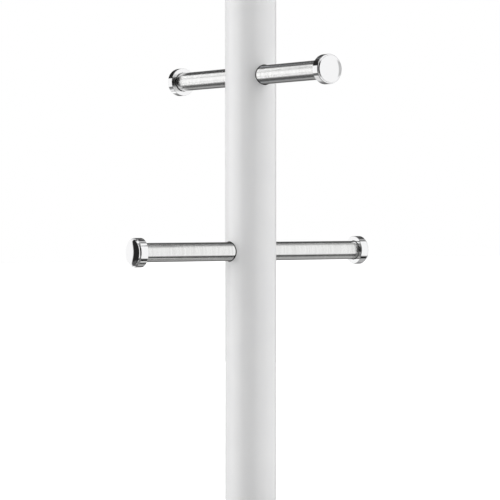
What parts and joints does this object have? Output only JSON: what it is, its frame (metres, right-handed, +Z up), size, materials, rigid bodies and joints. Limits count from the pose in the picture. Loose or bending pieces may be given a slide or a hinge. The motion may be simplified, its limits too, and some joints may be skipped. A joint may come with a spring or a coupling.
{
  "type": "mug tree",
  "caption": "Mug tree: a white tube post on a weighted round base, crossed by steel bars with capped ends that hold mugs by their handles.",
  "frame": {"origin": "centre of the round base, on the surface that the tree stands on", "axes": "+Z up the post; the lowest and the top bar lie along X, and the middle bar along Y"},
  "size_m": [0.164, 0.164, 0.4084],
  "materials": {
    "white_paint": "satin white powder coat",
    "brushed_steel": "stainless steel with fine grinding marks round its girth",
    "polished_steel": "mirror polished",
    "spun_steel": "stainless steel with fine circular spinning marks",
    "cast_iron": "black oxide over a sand-cast skin",
    "zinc_plate": "bright zinc plate on steel",
    "nylon": "moulded natural nylon",
    "rubber": "matt moulded rubber"
  },
  "bodies": {
    "root": {"base_pad": "rubber", "base_ballast": "cast_iron", "base_cover": "spun_steel", "base_collar": "polished_steel", "post_tube": "white_paint", "post_foot_plug": "nylon", "top_cap": "polished_steel", "tie_rod": "zinc_plate", "tie_nut": "zinc_plate", "tie_lock_washer": "zinc_plate", "tie_washer": "zinc_plate", "bar_lower": "brushed_steel", "end_cap_lower_a": "polished_steel", "end_cap_lower_b": "polished_steel", "bar_middle": "brushed_steel", "end_cap_middle_a": "polished_steel", "end_cap_middle_b": "polished_steel", "bar_upper": "brushed_steel", "end_cap_upper_a": "polished_steel", "end_cap_upper_b": "polished_steel"}
  },
  "joints": []
}
